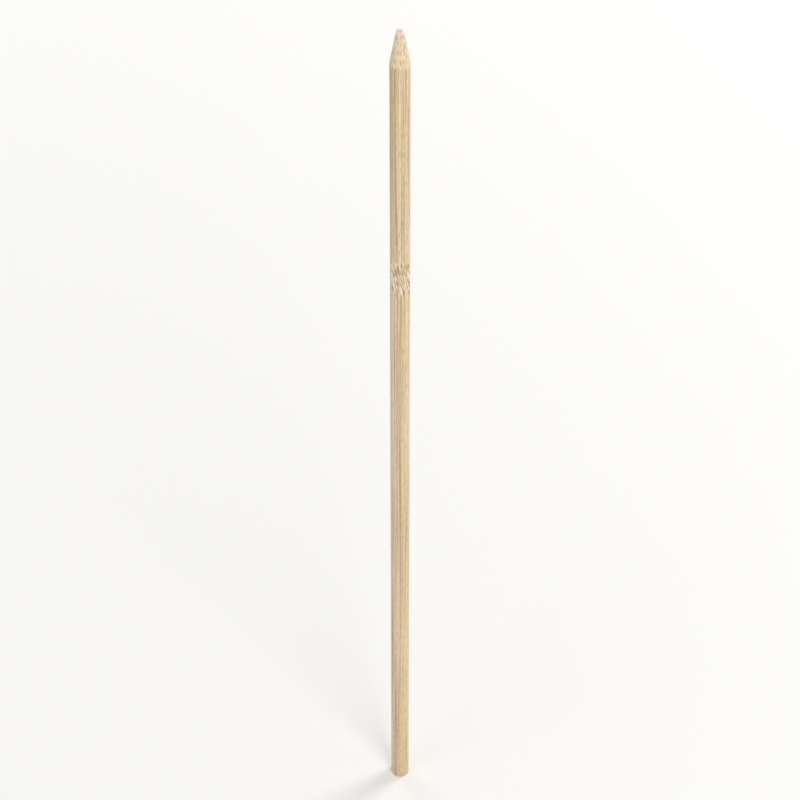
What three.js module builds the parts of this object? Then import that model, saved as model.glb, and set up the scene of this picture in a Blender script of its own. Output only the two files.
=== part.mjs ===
// A round bamboo skewer, upright with its point at the top.
// Millimetres, +Z up. The origin is the centre of the square-cut butt end.

import * as THREE from 'three';

// Stick
const skewerLength = 300; // butt face to tip face
const shaftDiameter = 5;
const buttEdgeRadius = 0.2; // the saw cut's edge, softened by tumbling

// Point, ground to a cone that ends in a small blunt face
const pointLength = 10.4; // shoulder to tip face
const tipDiameter = 1.75; // of the cone where it would meet the tip face in a sharp corner
const shoulderRadius = 12; // soft change from shaft to cone
const tipEdgeRadius = 0.55; // rounds the tip to a nose with a small flat

// Facets of the turned surface
const facetsAround = 64;
const facetsPerCorner = 5;

// Points of the arc that rounds one corner of an outline which runs anticlockwise.
function roundedCorner(before, corner, after, radius) {
  const back = before.clone().sub(corner).normalize();
  const ahead = after.clone().sub(corner).normalize();
  const halfAngle = Math.acos(back.dot(ahead)) / 2;
  const inwards = back.clone().add(ahead).normalize();
  const centre = corner.clone().addScaledVector(inwards, radius / Math.sin(halfAngle));
  const arcStart = corner.clone().addScaledVector(back, radius / Math.tan(halfAngle));
  const turn = Math.PI - 2 * halfAngle;
  const points = [];
  for (let i = 0; i <= facetsPerCorner; i++) {
    points.push(arcStart.clone().rotateAround(centre, (turn * i) / facetsPerCorner));
  }
  return points;
}

// Half of the skewer's long section: x is the radius and y the height.
function skewerOutline() {
  const buttCentre = new THREE.Vector2(0, 0);
  const buttEdge = new THREE.Vector2(shaftDiameter / 2, 0);
  const shoulder = new THREE.Vector2(shaftDiameter / 2, skewerLength - pointLength);
  const tipEdge = new THREE.Vector2(tipDiameter / 2, skewerLength);
  const tipCentre = new THREE.Vector2(0, skewerLength);
  return [
    buttCentre,
    ...roundedCorner(buttCentre, buttEdge, shoulder, buttEdgeRadius),
    ...roundedCorner(buttEdge, shoulder, tipEdge, shoulderRadius),
    ...roundedCorner(shoulder, tipEdge, tipCentre, tipEdgeRadius),
    tipCentre,
  ];
}

// The outline turned about the stick's axis, which is then stood up along Z.
function skewerGeometry() {
  const geometry = new THREE.LatheGeometry(skewerOutline(), facetsAround);
  geometry.rotateX(Math.PI / 2);
  return geometry;
}

// Sanded bamboo: warm straw colour, dull.
function bamboo() {
  return new THREE.MeshStandardMaterial({ color: 0xdac4a0, roughness: 0.65, metalness: 0 });
}

const skewer = new THREE.Mesh(skewerGeometry(), bamboo());
skewer.name = 'skewer';

const part = new THREE.Group();
part.add(skewer);

export default part;
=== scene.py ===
import math

import bmesh
import bpy
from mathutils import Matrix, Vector


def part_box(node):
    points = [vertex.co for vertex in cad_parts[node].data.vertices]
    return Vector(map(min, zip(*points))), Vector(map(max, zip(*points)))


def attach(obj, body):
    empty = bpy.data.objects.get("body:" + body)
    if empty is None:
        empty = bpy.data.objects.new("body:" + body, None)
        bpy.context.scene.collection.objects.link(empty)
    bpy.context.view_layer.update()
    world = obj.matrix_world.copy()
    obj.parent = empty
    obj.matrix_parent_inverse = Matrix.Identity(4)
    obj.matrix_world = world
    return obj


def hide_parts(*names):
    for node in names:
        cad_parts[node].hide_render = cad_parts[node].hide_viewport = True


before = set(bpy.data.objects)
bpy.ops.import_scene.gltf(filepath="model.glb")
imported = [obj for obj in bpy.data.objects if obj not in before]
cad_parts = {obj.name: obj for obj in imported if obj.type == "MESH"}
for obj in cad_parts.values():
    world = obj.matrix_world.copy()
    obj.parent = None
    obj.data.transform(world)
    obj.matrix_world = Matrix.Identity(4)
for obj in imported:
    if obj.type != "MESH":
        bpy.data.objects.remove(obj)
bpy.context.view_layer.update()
print("frame loaded")

mm = 0.001                                # the scene is in metres
tiny = 0.001 * mm                         # heights closer than this count as one
white = (1, 1, 1, 1)
share, under, over, mixed = 0, 6, 7, 2    # sockets of a Mix node that is set to colour

stickLow, stickHigh = (Vector(corner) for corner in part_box("skewer"))
stickLength = stickHigh.z - stickLow.z
shaftRadius = (stickHigh.x - stickLow.x) / 2


# Hex colours are sRGB, shader sockets want linear
def linearColour(hexCode):
    channels = [int(hexCode[i:i + 2], 16) / 255 for i in (1, 3, 5)]
    return [c / 12.92 if c <= 0.04045 else ((c + 0.055) / 1.055) ** 2.4 for c in channels] + [1.0]


# Adds one node, sets it, links or fills its inputs and gives back one of its outputs
def addNode(tree, kind, settings={}, inputs={}, output=0):
    node = tree.nodes.new(kind)
    for name, value in settings.items():
        setattr(node, name, value)
    for name, value in inputs.items():
        if isinstance(value, bpy.types.NodeSocket):
            tree.links.new(value, node.inputs[name])
        else:
            node.inputs[name].default_value = value
    return node.outputs[output] if node.outputs else node


def deselectAll():
    if bpy.context.object and bpy.context.object.mode != "OBJECT":
        bpy.ops.object.mode_set(mode="OBJECT")
    bpy.ops.object.select_all(action="DESELECT")


# Bamboo's own build: dark fibre bundles run up the stick through paler ground tissue.
# Lengths are in mm, and a stretch gives a noise's steps per mm in x, y and z
grain = {
    "bundleSpacing": 0.40,              # from one bundle to the next
    "bundleScatter": 0.95,              # unevenness of that spacing, from 0 to 1
    "bundleCore": 0.10,                 # share of the spacing where a bundle is darkest
    "bundleEdge": 0.40,                 # share of the spacing where it has faded out
    "faintest": 0.1,                    # strength of the faintest bundle, where the strongest has 1
    "wander": 0.5,                      # how far the bundles drift sideways on their way up
    "wanderStretch": (0.04, 0.04, 1 / 80),    # over 80 mm of height, neighbours together
    "jointHeight": 216,                 # centre of the growth joint, above the butt end
    "jointCore": 4.6,                   # half height of the part where the bundles slant
    "jointEnd": 7.4,                    # and where they run straight again
    "jointRagged": 4.5,                 # unevenness of that edge
    "raggedScale": 0.55,                # noise steps per mm: patches of 1.8 mm
    "jointTurn": 0.75,                  # the bundles wind round the axis there, in radians
    "strokeWidth": 0.25,                # of the dark and pale strokes there
    "strokeLength": 2.4,
    "strokeMiddle": 0.50,               # noise level between a dark and a pale stroke
    "strokeDark": 0.33,                 # where it is darkest
    "strokePale": 0.64,                 # and where it is palest
}


# The same grain is built in the material and in the relief, so grooves lie under the dark lines
def bambooGrain(tree, position):
    place = addNode(tree, "ShaderNodeVectorMath", {"operation": "SCALE"}, {0: position, "Scale": 1 / mm})
    height = addNode(tree, "ShaderNodeSeparateXYZ", {}, {0: place}, "Z")

    # 1 at the growth joint and 0 away from it, with a ragged edge
    fromJoint = addNode(tree, "ShaderNodeMath", {"operation": "SUBTRACT"}, {
        0: height, 1: grain["jointHeight"]})
    patches = addNode(tree, "ShaderNodeTexNoise", {}, {
        "Vector": place, "Scale": grain["raggedScale"], "Detail": 1.0}, "Fac")
    uneven = addNode(tree, "ShaderNodeMapRange", {}, {
        "Value": patches, "To Min": -grain["jointRagged"] / 2, "To Max": grain["jointRagged"] / 2})
    raggedHeight = addNode(tree, "ShaderNodeMath", {"operation": "ADD"}, {0: fromJoint, 1: uneven})
    awayFromJoint = addNode(tree, "ShaderNodeMath", {"operation": "ABSOLUTE"}, {0: raggedHeight})
    joint = addNode(tree, "ShaderNodeMapRange", {"interpolation_type": "SMOOTHSTEP"}, {
        "Value": awayFromJoint, "From Min": grain["jointEnd"], "From Max": grain["jointCore"]})

    # the bundles' path: turned about the axis at the growth joint, with a slow drift all the way
    stretched = addNode(tree, "ShaderNodeVectorMath", {"operation": "MULTIPLY"}, {
        0: place, 1: grain["wanderStretch"]})
    drift = addNode(tree, "ShaderNodeTexNoise", {}, {
        "Vector": stretched, "Scale": 1.0, "Detail": 0.0}, "Color")
    drift = addNode(tree, "ShaderNodeVectorMath", {"operation": "SCALE"}, {
        0: drift, "Scale": grain["wander"]})
    turn = addNode(tree, "ShaderNodeMapRange", {"interpolation_type": "SMOOTHSTEP"}, {
        "Value": fromJoint, "From Min": -grain["jointEnd"], "From Max": grain["jointEnd"],
        "To Max": grain["jointTurn"]})
    path = addNode(tree, "ShaderNodeVectorRotate", {"rotation_type": "Z_AXIS"}, {
        "Vector": place, "Angle": turn})
    path = addNode(tree, "ShaderNodeVectorMath", {"operation": "ADD"}, {0: path, 1: drift})

    # bundles cut across are dots, along the shaft they are lines, on the cone they are dashes
    toBundle = addNode(tree, "ShaderNodeTexVoronoi", {"voronoi_dimensions": "2D"}, {
        "Vector": path, "Scale": 1 / grain["bundleSpacing"],
        "Randomness": grain["bundleScatter"]}, "Distance")
    bundle = addNode(tree, "ShaderNodeMapRange", {"interpolation_type": "SMOOTHSTEP"}, {
        "Value": toBundle, "From Min": grain["bundleEdge"], "From Max": grain["bundleCore"]})
    strength = addNode(tree, "ShaderNodeSeparateXYZ", {}, {0: toBundle.node.outputs["Color"]}, "X")
    strength = addNode(tree, "ShaderNodeMapRange", {}, {"Value": strength, "To Min": grain["faintest"]})
    bundle = addNode(tree, "ShaderNodeMath", {"operation": "MULTIPLY"}, {0: bundle, 1: strength})

    # at the joint they part into short strokes, dark and pale side by side
    across, along = 1 / grain["strokeWidth"], 1 / grain["strokeLength"]
    strokePath = addNode(tree, "ShaderNodeVectorMath", {"operation": "MULTIPLY"}, {
        0: path, 1: (across, across, along)})
    stroke = addNode(tree, "ShaderNodeTexNoise", {}, {
        "Vector": strokePath, "Scale": 1.0, "Detail": 0.5}, "Fac")
    darkStroke = addNode(tree, "ShaderNodeMapRange", {"interpolation_type": "SMOOTHSTEP"}, {
        "Value": stroke, "From Min": grain["strokeMiddle"], "From Max": grain["strokeDark"]})
    paleStroke = addNode(tree, "ShaderNodeMapRange", {"interpolation_type": "SMOOTHSTEP"}, {
        "Value": stroke, "From Min": grain["strokeMiddle"], "From Max": grain["strokePale"]})

    groove = addNode(tree, "ShaderNodeMapRange", {}, {
        "Value": joint, "To Min": bundle, "To Max": darkStroke})
    return {"place": place, "height": height, "joint": joint, "path": path, "bundle": bundle,
            "darkStroke": darkStroke, "paleStroke": paleStroke, "groove": groove}


# The stick: a turned form with true relief cut into it
skewer = {
    "pointLength": 10.4 * mm,           # shoulder to tip face
    "tipRadius": 0.875 * mm,            # where cone and tip face would meet
    "tipEdgeRadius": 0.55 * mm,
    "shoulderRadius": 12 * mm,
    "buttEdgeRadius": 0.2 * mm,
    "sides": 144,
    "tipEdgeSegments": 8,
    "shoulderSegments": 8,
    "buttEdgeSegments": 4,
    "jointBand": 11 * mm,               # half height of the finely divided band at the growth joint
    "cutsBelowJoint": (99,),            # rings added to each stretch, pass by pass
    "cutsAtJoint": (11, 11),
    "cutsAboveJoint": (32,),
    "cutsOnPoint": (9, 8),
    "buttInset": 0.22 * mm,             # from one ring of an end face to the next
    "buttInsets": 8,
    "tipInset": 0.07 * mm,
    "tipInsets": 4,
    "sharpAngle": 35,                   # degrees, steeper edges are shaded sharp
    "grooveDepth": 0.012,               # mm, fibre grooves on the sanded shaft
    "jointDepth": 0.075,                # mm, pits at the growth joint
    "cutDepth": 0.022,                  # mm, fibre ends on the point
    "cutFade": 0.6,                     # mm either side of the shoulder, from grooves to fibre ends
    "swellDepth": 0.020,                # mm, broad unevenness of the sanding
    "swellStretch": (0.5, 0.5, 0.12),   # noise steps per mm: swells 2 mm wide and 8 mm long
}
shoulderHeight = stickLength - skewer["pointLength"]
jointLow = grain["jointHeight"] * mm - skewer["jointBand"]
jointHigh = grain["jointHeight"] * mm + skewer["jointBand"]

# How far a rounded corner reaches from where its two straight sides would meet
coneLean = math.atan2(shaftRadius - skewer["tipRadius"], skewer["pointLength"])
tipSetback = skewer["tipEdgeRadius"] * math.tan((math.pi / 2 - coneLean) / 2)
shoulderSetback = skewer["shoulderRadius"] * math.tan(coneLean / 2)


# Selects what passes the test, in edit mode
def pick(piece, kind, test):
    bpy.ops.mesh.select_mode(type={"edges": "EDGE", "faces": "FACE"}[kind])
    bpy.ops.mesh.select_all(action="DESELECT")
    shape = bmesh.from_edit_mesh(piece.data)
    for part in getattr(shape, kind):
        if test(part):
            part.select_set(True)
    bmesh.update_edit_mesh(piece.data)


def onRing(height):
    return lambda edge: all(abs(v.co.z - height) < tiny for v in edge.verts)


def upright(low, high):
    def test(edge):
        lower, upper = sorted(v.co.z for v in edge.verts)
        return upper - lower > tiny and lower > low - tiny and upper < high + tiny
    return test


# Rings between two heights; each pass divides what the last one left
def divideBand(piece, low, high, cuts):
    for number in cuts:
        pick(piece, "edges", upright(low, high))
        bpy.ops.mesh.subdivide(number_cuts=number)


def roundRing(piece, height, setback, segments):
    pick(piece, "edges", onRing(height))
    bpy.ops.mesh.bevel(
        offset=setback, offset_type="OFFSET", segments=segments, profile=0.5, affect="EDGES")


# Rings and a centre point on a flat end, so that the relief reaches it too
def closeEnd(piece, facing, height, inset, insets):
    pick(piece, "faces", lambda face: face.normal.z * facing > 0.99 and len(face.verts) > 4
         and abs(face.calc_center_median().z - height) < tiny)
    for _ in range(insets):
        bpy.ops.mesh.inset(thickness=inset, depth=0)
    bpy.ops.mesh.poke()


def modelStick():
    deselectAll()
    bpy.ops.mesh.primitive_cylinder_add(
        vertices=skewer["sides"], radius=shaftRadius, depth=shoulderHeight,
        end_fill_type="NGON", location=(0, 0, shoulderHeight / 2))
    stick = bpy.context.object
    stick.name = stick.data.name = "bambooStick"
    bpy.ops.object.transform_apply(location=True, rotation=True, scale=True)

    # the point is drawn up from the top face and narrowed to the tip
    bpy.ops.object.mode_set(mode="EDIT")
    pick(stick, "faces", lambda face: face.normal.z > 0.99)
    bpy.ops.mesh.extrude_region_move(TRANSFORM_OT_translate={"value": (0, 0, skewer["pointLength"])})
    shrink = skewer["tipRadius"] / shaftRadius
    bpy.ops.transform.resize(value=(shrink, shrink, 1), center_override=(0, 0, stickLength))

    roundRing(stick, stickLength, tipSetback, skewer["tipEdgeSegments"])
    roundRing(stick, shoulderHeight, shoulderSetback, skewer["shoulderSegments"])
    roundRing(stick, 0, skewer["buttEdgeRadius"], skewer["buttEdgeSegments"])

    # rings close enough for the relief, closest at the growth joint
    for height in (jointLow, jointHigh):
        bpy.ops.mesh.select_all(action="SELECT")
        bpy.ops.mesh.bisect(plane_co=(0, 0, height), plane_no=(0, 0, 1))
    coneLow = shoulderHeight + shoulderSetback * math.cos(coneLean)
    coneHigh = stickLength - tipSetback * math.cos(coneLean)
    divideBand(stick, skewer["buttEdgeRadius"], jointLow, skewer["cutsBelowJoint"])
    divideBand(stick, jointLow, jointHigh, skewer["cutsAtJoint"])
    divideBand(stick, jointHigh, shoulderHeight - shoulderSetback, skewer["cutsAboveJoint"])
    divideBand(stick, coneLow, coneHigh, skewer["cutsOnPoint"])
    closeEnd(stick, -1, 0, skewer["buttInset"], skewer["buttInsets"])
    closeEnd(stick, 1, stickLength, skewer["tipInset"], skewer["tipInsets"])
    bpy.ops.object.mode_set(mode="OBJECT")
    bpy.ops.object.shade_smooth_by_angle(angle=math.radians(skewer["sharpAngle"]))
    return stick


# Relief along the normals, always inwards, so the stick stays within its true size
def carveGrain(stick):
    tree = bpy.data.node_groups.new("fibreRelief", "GeometryNodeTree")
    tree.interface.new_socket("Geometry", in_out="INPUT", socket_type="NodeSocketGeometry")
    tree.interface.new_socket("Geometry", in_out="OUTPUT", socket_type="NodeSocketGeometry")
    shape = addNode(tree, "NodeGroupInput")
    position = addNode(tree, "GeometryNodeInputPosition")
    normal = addNode(tree, "GeometryNodeInputNormal")
    parts = bambooGrain(tree, position)

    # grooves on the shaft, pits at the growth joint, fibre ends on the point
    shoulder, fade = shoulderHeight / mm, skewer["cutFade"]
    onPoint = addNode(tree, "ShaderNodeMapRange", {}, {
        "Value": parts["height"], "From Min": shoulder - fade, "From Max": shoulder + fade})
    depth = addNode(tree, "ShaderNodeMapRange", {}, {
        "Value": parts["joint"], "To Min": skewer["grooveDepth"], "To Max": skewer["jointDepth"]})
    depth = addNode(tree, "ShaderNodeMapRange", {}, {
        "Value": onPoint, "To Min": depth, "To Max": skewer["cutDepth"]})
    groove = addNode(tree, "ShaderNodeMath", {"operation": "MULTIPLY"}, {0: parts["groove"], 1: depth})

    swellPath = addNode(tree, "ShaderNodeVectorMath", {"operation": "MULTIPLY"}, {
        0: parts["place"], 1: skewer["swellStretch"]})
    swell = addNode(tree, "ShaderNodeTexNoise", {}, {
        "Vector": swellPath, "Scale": 1.0, "Detail": 2.0}, "Fac")
    swell = addNode(tree, "ShaderNodeMath", {"operation": "MULTIPLY"}, {
        0: swell, 1: skewer["swellDepth"]})

    inwards = addNode(tree, "ShaderNodeMath", {"operation": "ADD"}, {0: groove, 1: swell})
    inwards = addNode(tree, "ShaderNodeMath", {"operation": "MULTIPLY"}, {0: inwards, 1: -mm})
    offset = addNode(tree, "ShaderNodeVectorMath", {"operation": "SCALE"}, {0: normal, "Scale": inwards})
    shape = addNode(tree, "GeometryNodeSetPosition", {}, {"Geometry": shape, "Offset": offset})
    addNode(tree, "NodeGroupOutput", {}, {"Geometry": shape})

    relief = stick.modifiers.new("fibreRelief", "NODES")
    relief.node_group = tree
    bpy.ops.object.modifier_apply(modifier=relief.name)


# Map of the stick, 0 to 1 each way: upright strips side by side and a disc for each end,
# with more room than their size asks for the growth joint, the point and the ends
stickMap = {
    "columns": 4,
    "gap": 0.006,                       # kept free round each strip
    "plainSpan": (0, 0.62),             # bottom and top of the strip above the growth joint
    "jointSpan": (0.64, 1),             # of the growth joint, over it in the same column
    "pointSpan": (0, 0.60),             # of the point, which starts this far below the shoulder
    "pointMargin": 1 * mm,
    "discEdge": 0.1 * mm,               # faces this near to an end belong to its disc
    "buttDisc": (0.875, 0.86, 0.105),   # centre and radius
    "tipDisc": (0.875, 0.68, 0.055),
}


def mapStick(stick):
    pointLow = shoulderHeight - stickMap["pointMargin"]
    strips = [
        # low, high, column, span on the map
        (0, jointLow / 2, 0, (0, 1)),
        (jointLow / 2, jointLow, 1, (0, 1)),
        (jointHigh, pointLow, 2, stickMap["plainSpan"]),
        (jointLow, jointHigh, 2, stickMap["jointSpan"]),
        (pointLow, stickLength, 3, stickMap["pointSpan"]),
    ]
    discs = {-1: (stickMap["buttDisc"], shaftRadius), 1: (stickMap["tipDisc"], skewer["tipRadius"])}
    columns, gap, discEdge = stickMap["columns"], stickMap["gap"], stickMap["discEdge"]
    mesh = stick.data
    layer = mesh.uv_layers.new(name="OFBake")
    for face in mesh.polygons:
        middle = face.center
        end = -1 if middle.z < discEdge else 1 if middle.z > stickLength - discEdge else 0
        low, high, column, span = next((s for s in strips if s[0] <= middle.z < s[1]), strips[-1])
        middleTurn = math.atan2(middle.y, middle.x) / math.tau
        for loop in face.loop_indices:
            corner = mesh.vertices[mesh.loops[loop].vertex_index].co
            if end:
                (u, v, reach), radius = discs[end]
                u += end * corner.x / radius * reach      # the butt end is seen from below
                v += corner.y / radius * reach
            else:
                # a corner on the seam goes to the side that its face is on
                turn = math.atan2(corner.y, corner.x) / math.tau
                turn = middleTurn + (turn - middleTurn + 0.5) % 1 - 0.5
                along = (corner.z - low) / (high - low)
                u = (column + gap + (turn + 0.5) * (1 - 2 * gap)) / columns
                v = span[0] + gap + along * (span[1] - span[0] - 2 * gap)
            layer.data[loop].uv = (u, v)


# Bamboo, split from the cane, cut round and sanded, with no varnish. That gives the eye a dull straw
# cream with straight tan fibre lines, and a paler, duller point where grinding cut across the fibres.
# A window is two noise levels, where something starts and where it is full
bamboo = {
    "cream": "#eedab5",
    "yellowCream": "#e7d29f",
    "pinkTan": "#d6b591",
    "greyCream": "#e1d4bc",
    "tan": "#b4946a",
    "bundleTan": "#9d7847",
    "jointDark": "#8f7153",
    "jointPale": "#f6e6ca",
    "jointAmber": "#c9a468",
    "pointPale": "#f4e0bf",
    "pointSpeck": "#af8f62",
    "tipFace": "#cab8a6",
    # painted highlight on the rounded tip
    "paintedTipHighlight": "#f9e5cb",

    "bandStretch": (0.5, 0.5, 0.008),   # colour bands 2 mm wide and 125 mm long
    "bandWindow": (0.25, 0.7),          # where a band is pinkest and where it is yellowest
    "paintedSideShade": 0.35,                   # painted shade and light: turns the left side pinker and darker, the right side yellower and paler
    "streakStretch": (1, 1, 0.004),     # with the scale, streaks 0.4 mm wide and 110 mm long
    "streakScale": 2.3,
    "streaks": (
        # channel of the noise, colour, window, share
        ("Red", "cream", (0.47, 0.58), 0.9),
        ("Green", "greyCream", (0.50, 0.60), 0.8),
        ("Blue", "tan", (0.52, 0.63), 0.82),
    ),
    "bundleWindow": (0.36, 0.60),       # the bundles are faint in some streaks and dark in others
    "bundleFaint": 0.2,

    "amberSpot": (1.9, -1.6, grain["jointHeight"] + 4.2),   # mm, where the joint is stained
    "amberReach": (2.6, 0.2),           # mm from there, where the stain starts and where it is full
    "amberShare": 0.7,

    "pointShare": 0.65,                 # how far the cut point pales
    "speckShare": 0.75,                 # of the dashes on it
    "pointRagged": 1.2,                 # mm up and down, unevenness of the point's lower edge
    "raggedScale": 0.9,                 # noise steps per mm: waves of 1.1 mm
    "pointEdge": (-0.2, 0.4),           # mm above the shoulder, where the point starts and is full
    "tipHighlightFade": (1.9, 0.15),             # mm below the tip, where its painted highlight, a pale rim, starts and is full
    # strength of the painted highlight on the tip
    "tipHighlightShare": 0.85,
    "tipFaceAt": (0.02, -0.30, stickLength / mm - 0.02),    # end grain, set off centre towards the front, which leaves the painted highlight round the far rim
    "tipFaceReach": (0.46, 0.26),       # mm from there, where it starts and is full
    "tipFaceShare": 0.8,

    "fleckStretch": (6, 6, 0.42),       # open pores 0.17 mm wide and 2.4 mm long
    "fleckWindow": (0.58, 0.74),
    "fleckShare": 0.4,
    "mottleStretch": (1.8, 1.8, 0.45),  # mottle of the sanding, 0.6 mm wide and 2.2 mm long
    "mottleShade": (0.94, 1.06),
    # single fibres, drawn 0.14 mm wide where the real ones are a tenth of that, or they would not show
    "fibreStretch": (7, 7, 0.04),
    "fibreShade": (0.86, 1.10),
    "fibreRoughness": (-0.06, 0.08),
    "noiseSpread": (0.3, 0.7),          # nearly all of a noise lies between these

    "shaftRoughness": 0.58,
    "pointRoughness": 0.78,
    "ior": 1.5,                         # cellulose
    "bumpStrength": 0.35,
    "bumpDepth": 0.03 * mm,
}


def sandedBamboo():
    material = bpy.data.materials.new("sandedBamboo")
    material.use_nodes = True
    tree = material.node_tree
    tree.nodes.clear()
    colour = {name: linearColour(value) for name, value in bamboo.items() if isinstance(value, str)}
    tipHeight, shoulder, radius = stickLength / mm, shoulderHeight / mm, shaftRadius / mm
    spreadLow, spreadHigh = bamboo["noiseSpread"]
    position = addNode(tree, "ShaderNodeTexCoord", {}, {}, "Object")
    parts = bambooGrain(tree, position)

    # broad bands of colour that run the whole way up, with painted shade across them: the left side
    # pinker and darker, the right side yellower and paler
    bandPath = addNode(tree, "ShaderNodeVectorMath", {"operation": "MULTIPLY"}, {
        0: parts["path"], 1: bamboo["bandStretch"]})
    bands = addNode(tree, "ShaderNodeTexNoise", {}, {
        "Vector": bandPath, "Scale": 1.0, "Detail": 2.0}, "Fac")
    # painted shade and light, from the left side of the stick to the right
    leftToRight = addNode(tree, "ShaderNodeSeparateXYZ", {}, {0: parts["place"]}, "X")
    side = addNode(tree, "ShaderNodeMapRange", {}, {
        "Value": leftToRight, "From Min": -radius, "From Max": radius,
        "To Min": -bamboo["paintedSideShade"], "To Max": bamboo["paintedSideShade"]})
    side = addNode(tree, "ShaderNodeMath", {"operation": "ADD"}, {0: bands, 1: side})
    start, full = bamboo["bandWindow"]
    side = addNode(tree, "ShaderNodeMapRange", {"interpolation_type": "SMOOTHSTEP"}, {
        "Value": side, "From Min": start, "From Max": full})
    paint = addNode(tree, "ShaderNodeMix", {"data_type": "RGBA"}, {
        share: side, under: colour["pinkTan"], over: colour["yellowCream"]}, mixed)

    # streaks of ground tissue
    streakPath = addNode(tree, "ShaderNodeVectorMath", {"operation": "MULTIPLY"}, {
        0: parts["path"], 1: bamboo["streakStretch"]})
    streaks = addNode(tree, "ShaderNodeTexNoise", {}, {
        "Vector": streakPath, "Scale": bamboo["streakScale"], "Detail": 2.5, "Roughness": 0.6}, "Color")
    for channel, tone, (start, full), most in bamboo["streaks"]:
        streak = addNode(tree, "ShaderNodeSeparateColor", {}, {0: streaks}, channel)
        streak = addNode(tree, "ShaderNodeMapRange", {"interpolation_type": "SMOOTHSTEP"}, {
            "Value": streak, "From Min": start, "From Max": full, "To Max": most})
        paint = addNode(tree, "ShaderNodeMix", {"data_type": "RGBA"}, {
            share: streak, under: paint, over: colour[tone]}, mixed)

    # the fibre bundles
    bundleDark = addNode(tree, "ShaderNodeTexNoise", {}, {
        "Vector": streakPath, "Scale": bamboo["streakScale"], "Detail": 1.0}, "Fac")
    start, full = bamboo["bundleWindow"]
    bundleDark = addNode(tree, "ShaderNodeMapRange", {"interpolation_type": "SMOOTHSTEP"}, {
        "Value": bundleDark, "From Min": start, "From Max": full, "To Min": bamboo["bundleFaint"]})
    bundleDark = addNode(tree, "ShaderNodeMath", {"operation": "MULTIPLY"}, {
        0: bundleDark, 1: parts["bundle"]})
    shaftPaint = addNode(tree, "ShaderNodeMix", {"data_type": "RGBA"}, {
        share: bundleDark, under: paint, over: colour["bundleTan"]}, mixed)

    # growth joint: slanting strokes, pale and dark side by side, and a stain
    jointPaint = addNode(tree, "ShaderNodeMix", {"data_type": "RGBA"}, {
        share: parts["paleStroke"], under: paint, over: colour["jointPale"]}, mixed)
    jointPaint = addNode(tree, "ShaderNodeMix", {"data_type": "RGBA"}, {
        share: parts["darkStroke"], under: jointPaint, over: colour["jointDark"]}, mixed)
    fromSpot = addNode(tree, "ShaderNodeVectorMath", {"operation": "DISTANCE"}, {
        0: parts["place"], 1: bamboo["amberSpot"]}, "Value")
    start, full = bamboo["amberReach"]
    amber = addNode(tree, "ShaderNodeMapRange", {"interpolation_type": "SMOOTHSTEP"}, {
        "Value": fromSpot, "From Min": start, "From Max": full, "To Max": bamboo["amberShare"]})
    jointPaint = addNode(tree, "ShaderNodeMix", {"data_type": "RGBA"}, {
        share: amber, under: jointPaint, over: colour["jointAmber"]}, mixed)
    paint = addNode(tree, "ShaderNodeMix", {"data_type": "RGBA"}, {
        share: parts["joint"], under: shaftPaint, over: jointPaint}, mixed)

    # cut point: paler, with dashes where the cone crosses the bundles
    pointPaint = addNode(tree, "ShaderNodeMix", {"data_type": "RGBA"}, {
        share: bamboo["pointShare"], under: shaftPaint, over: colour["pointPale"]}, mixed)
    speck = addNode(tree, "ShaderNodeMath", {"operation": "MULTIPLY"}, {
        0: parts["bundle"], 1: bamboo["speckShare"]})
    pointPaint = addNode(tree, "ShaderNodeMix", {"data_type": "RGBA"}, {
        share: speck, under: pointPaint, over: colour["pointSpeck"]}, mixed)
    waves = addNode(tree, "ShaderNodeTexNoise", {}, {
        "Vector": parts["place"], "Scale": bamboo["raggedScale"], "Detail": 1.0}, "Fac")
    waves = addNode(tree, "ShaderNodeMapRange", {}, {
        "Value": waves, "To Min": -bamboo["pointRagged"], "To Max": bamboo["pointRagged"]})
    cutHeight = addNode(tree, "ShaderNodeMath", {"operation": "ADD"}, {0: parts["height"], 1: waves})
    start, full = bamboo["pointEdge"]
    onPoint = addNode(tree, "ShaderNodeMapRange", {"interpolation_type": "SMOOTHSTEP"}, {
        "Value": cutHeight, "From Min": shoulder + start, "From Max": shoulder + full})
    paint = addNode(tree, "ShaderNodeMix", {"data_type": "RGBA"}, {
        share: onPoint, under: paint, over: pointPaint}, mixed)

    # tip: a painted highlight, pale on the rounded rim, round a greyer face
    start, full = bamboo["tipHighlightFade"]
    rim = addNode(tree, "ShaderNodeMapRange", {"interpolation_type": "SMOOTHSTEP"}, {
        "Value": parts["height"], "From Min": tipHeight - start, "From Max": tipHeight - full,
        "To Max": bamboo["tipHighlightShare"]})
    paint = addNode(tree, "ShaderNodeMix", {"data_type": "RGBA"}, {
        share: rim, under: paint, over: colour["paintedTipHighlight"]}, mixed)
    fromFace = addNode(tree, "ShaderNodeVectorMath", {"operation": "DISTANCE"}, {
        0: parts["place"], 1: bamboo["tipFaceAt"]}, "Value")
    start, full = bamboo["tipFaceReach"]
    onFace = addNode(tree, "ShaderNodeMapRange", {"interpolation_type": "SMOOTHSTEP"}, {
        "Value": fromFace, "From Min": start, "From Max": full, "To Max": bamboo["tipFaceShare"]})
    onFace = addNode(tree, "ShaderNodeMath", {"operation": "MULTIPLY"}, {0: onFace, 1: rim})
    paint = addNode(tree, "ShaderNodeMix", {"data_type": "RGBA"}, {
        share: onFace, under: paint, over: colour["tipFace"]}, mixed)

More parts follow.
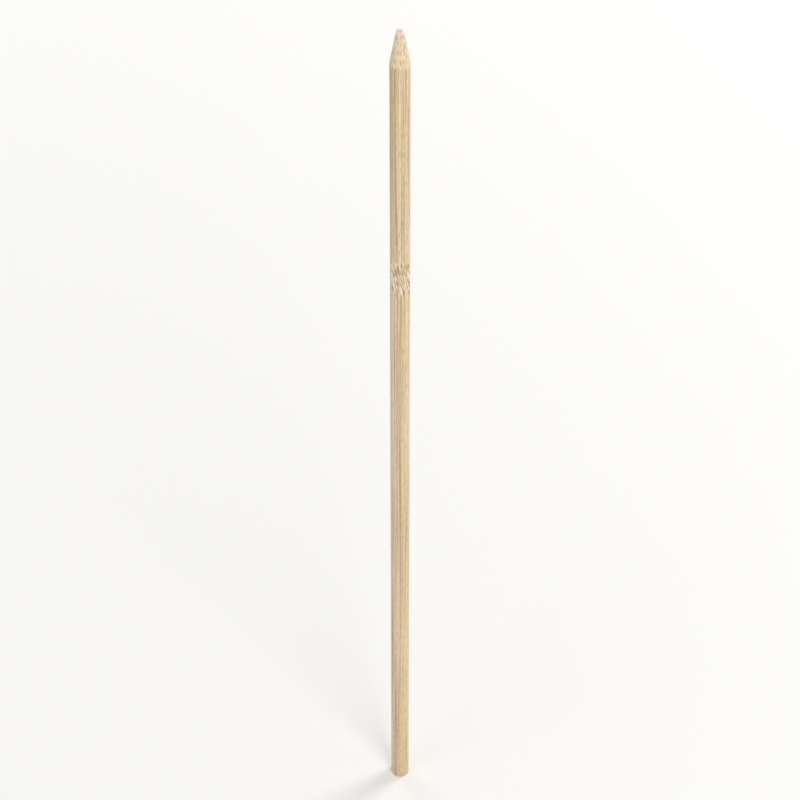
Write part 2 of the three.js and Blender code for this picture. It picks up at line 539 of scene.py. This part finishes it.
    # short open pores, the mottle of the sanding and the single fibres
    fleckPath = addNode(tree, "ShaderNodeVectorMath", {"operation": "MULTIPLY"}, {
        0: parts["path"], 1: bamboo["fleckStretch"]})
    fleck = addNode(tree, "ShaderNodeTexNoise", {}, {
        "Vector": fleckPath, "Scale": 1.0, "Detail": 0.5}, "Fac")
    start, full = bamboo["fleckWindow"]
    fleck = addNode(tree, "ShaderNodeMapRange", {"interpolation_type": "SMOOTHSTEP"}, {
        "Value": fleck, "From Min": start, "From Max": full, "To Max": bamboo["fleckShare"]})
    paint = addNode(tree, "ShaderNodeMix", {"data_type": "RGBA"}, {
        share: fleck, under: paint, over: colour["bundleTan"]}, mixed)

    mottlePath = addNode(tree, "ShaderNodeVectorMath", {"operation": "MULTIPLY"}, {
        0: parts["path"], 1: bamboo["mottleStretch"]})
    mottle = addNode(tree, "ShaderNodeTexNoise", {}, {
        "Vector": mottlePath, "Scale": 1.0, "Detail": 3.0}, "Fac")
    darkest, palest = bamboo["mottleShade"]
    mottle = addNode(tree, "ShaderNodeMapRange", {}, {
        "Value": mottle, "From Min": spreadLow, "From Max": spreadHigh,
        "To Min": darkest, "To Max": palest})
    paint = addNode(tree, "ShaderNodeVectorMath", {"operation": "SCALE"}, {0: paint, "Scale": mottle})

    fibrePath = addNode(tree, "ShaderNodeVectorMath", {"operation": "MULTIPLY"}, {
        0: parts["path"], 1: bamboo["fibreStretch"]})
    fibre = addNode(tree, "ShaderNodeTexNoise", {}, {
        "Vector": fibrePath, "Scale": 1.0, "Detail": 2.0}, "Fac")
    darkest, palest = bamboo["fibreShade"]
    fibreShade = addNode(tree, "ShaderNodeMapRange", {}, {
        "Value": fibre, "From Min": spreadLow, "From Max": spreadHigh,
        "To Min": darkest, "To Max": palest})
    paint = addNode(tree, "ShaderNodeVectorMath", {"operation": "SCALE"}, {0: paint, "Scale": fibreShade})

    # gloss and fine relief follow the fibres
    roughness = addNode(tree, "ShaderNodeMapRange", {}, {
        "Value": onPoint, "To Min": bamboo["shaftRoughness"], "To Max": bamboo["pointRoughness"]})
    smoothest, roughest = bamboo["fibreRoughness"]
    fibreRoughness = addNode(tree, "ShaderNodeMapRange", {}, {
        "Value": fibre, "From Min": spreadLow, "From Max": spreadHigh,
        "To Min": smoothest, "To Max": roughest})
    roughness = addNode(tree, "ShaderNodeMath", {"operation": "ADD"}, {0: roughness, 1: fibreRoughness})
    fineHeight = addNode(tree, "ShaderNodeMath", {"operation": "SUBTRACT"}, {0: fibre, 1: bundleDark})
    bump = addNode(tree, "ShaderNodeBump", {}, {
        "Strength": bamboo["bumpStrength"], "Distance": bamboo["bumpDepth"], "Height": fineHeight})
    shader = addNode(tree, "ShaderNodeBsdfPrincipled", {}, {
        "Base Color": paint, "Roughness": roughness, "Normal": bump,
        "IOR": bamboo["ior"], "Metallic": 0.0})
    addNode(tree, "ShaderNodeOutputMaterial", {}, {"Surface": shader})
    return material


stick = modelStick()
print("stick turned")
carveGrain(stick)
print("fibre relief carved")
mapStick(stick)
stick.data.materials.append(sandedBamboo())
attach(stick, "root")
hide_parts("skewer")
print("bamboo stick finished,", len(stick.data.polygons), "faces")


# Pale floor and soft studio light. Places and sizes are in metres
studio = {
    "floorColour": "#e4e3e0",
    "floorRoughness": 0.9,
    "floorSize": 6.0,
    "floorLift": (0.13, 0.63),          # at the object, and far off where the lamps no longer reach
    "floorFar": 1.6,                    # how far off that is
    "skyLevel": 0.46,                   # light from all round, for everything but the camera
    "key": {"at": (0.50, -0.95, 0.95), "size": 0.7, "watts": 6.9},
    "fill": {"at": (-0.9, -0.7, 0.6), "size": 0.9, "watts": 2.4},
    "rim": {"at": (0.9, 0.65, 0.85), "size": 0.6, "watts": 8.0},
    "back": {"at": (-0.7, 0.9, 0.7), "size": 0.9, "watts": 3.0},
    "aimHeight": 0.18,                  # where all lamps point, on the stick
    "tipDistance": 0.90,                # camera to tip
    "lookDown": 45,                     # degrees below level, at the tip
    "lens": 176,                        # mm
    "sensorWidth": 36,                  # mm
}


def paleFloor():
    deselectAll()
    bpy.ops.mesh.primitive_plane_add(size=studio["floorSize"], location=(0, 0, 0))
    floor = bpy.context.object
    floor.name = "paleFloor"
    material = bpy.data.materials.new("mattPaint")
    material.use_nodes = True
    tree = material.node_tree
    shader = tree.nodes["Principled BSDF"]
    shader.inputs["Base Color"].default_value = linearColour(studio["floorColour"])
    shader.inputs["Roughness"].default_value = studio["floorRoughness"]

    # seen straight on or in a reflection the floor is lifted to a white ground, its shadow stays
    seen = addNode(tree, "ShaderNodeLightPath", {}, {}, "Is Camera Ray")
    for ray in ("Is Glossy Ray", "Is Transmission Ray"):
        seen = addNode(tree, "ShaderNodeMath", {"operation": "MAXIMUM"}, {
            0: seen, 1: addNode(tree, "ShaderNodeLightPath", {}, {}, ray)})
    place = addNode(tree, "ShaderNodeTexCoord", {}, {}, "Object")
    distance = addNode(tree, "ShaderNodeVectorMath", {"operation": "LENGTH"}, {0: place}, "Value")
    near, far = studio["floorLift"]
    lift = addNode(tree, "ShaderNodeMapRange", {"interpolation_type": "SMOOTHSTEP"}, {
        "Value": distance, "From Max": studio["floorFar"], "To Min": near, "To Max": far})
    lift = addNode(tree, "ShaderNodeMath", {"operation": "MULTIPLY"}, {0: seen, 1: lift})
    shader.inputs["Emission Color"].default_value = white
    tree.links.new(lift, shader.inputs["Emission Strength"])
    floor.data.materials.append(material)


def softLight(name):
    lamp = studio[name]
    deselectAll()
    bpy.ops.object.light_add(type="AREA", location=lamp["at"])
    light = bpy.context.object
    light.name = name + "Light"
    light.data.shape = "DISK"
    light.data.size = lamp["size"]
    light.data.energy = lamp["watts"]
    aim = Vector((0, 0, studio["aimHeight"])) - light.location
    light.rotation_euler = aim.to_track_quat("-Z", "Y").to_euler()


# White to the camera, softer for what it lights
def paleSky():
    world = bpy.data.worlds.new("paleSky")
    bpy.context.scene.world = world
    world.use_nodes = True
    tree = world.node_tree
    tree.nodes.clear()
    seen = addNode(tree, "ShaderNodeLightPath", {}, {}, "Is Camera Ray")
    level = addNode(tree, "ShaderNodeMapRange", {}, {
        "Value": seen, "To Min": studio["skyLevel"], "To Max": 1.0})
    sky = addNode(tree, "ShaderNodeBackground", {}, {"Color": white, "Strength": level})
    addNode(tree, "ShaderNodeOutputWorld", {}, {"Surface": sky})


# Looks down on the tip as steeply as the picture does, and points halfway between tip and butt end
def placeCamera():
    down = math.radians(studio["lookDown"])
    reach = studio["tipDistance"]
    at = Vector((0, -math.cos(down) * reach, stickLength + math.sin(down) * reach))
    downToButt = math.atan2(at.z, -at.y)
    halfway = (down + downToButt) / 2
    deselectAll()
    bpy.ops.object.camera_add(location=at, rotation=(math.pi / 2 - halfway, 0, 0))
    camera = bpy.context.object
    camera.data.lens = studio["lens"]
    camera.data.sensor_width = studio["sensorWidth"]
    bpy.context.scene.camera = camera


paleFloor()
for name in ("key", "fill", "rim", "back"):
    softLight(name)
paleSky()
placeCamera()
bpy.context.scene.view_settings.view_transform = "Standard"
print("studio set")
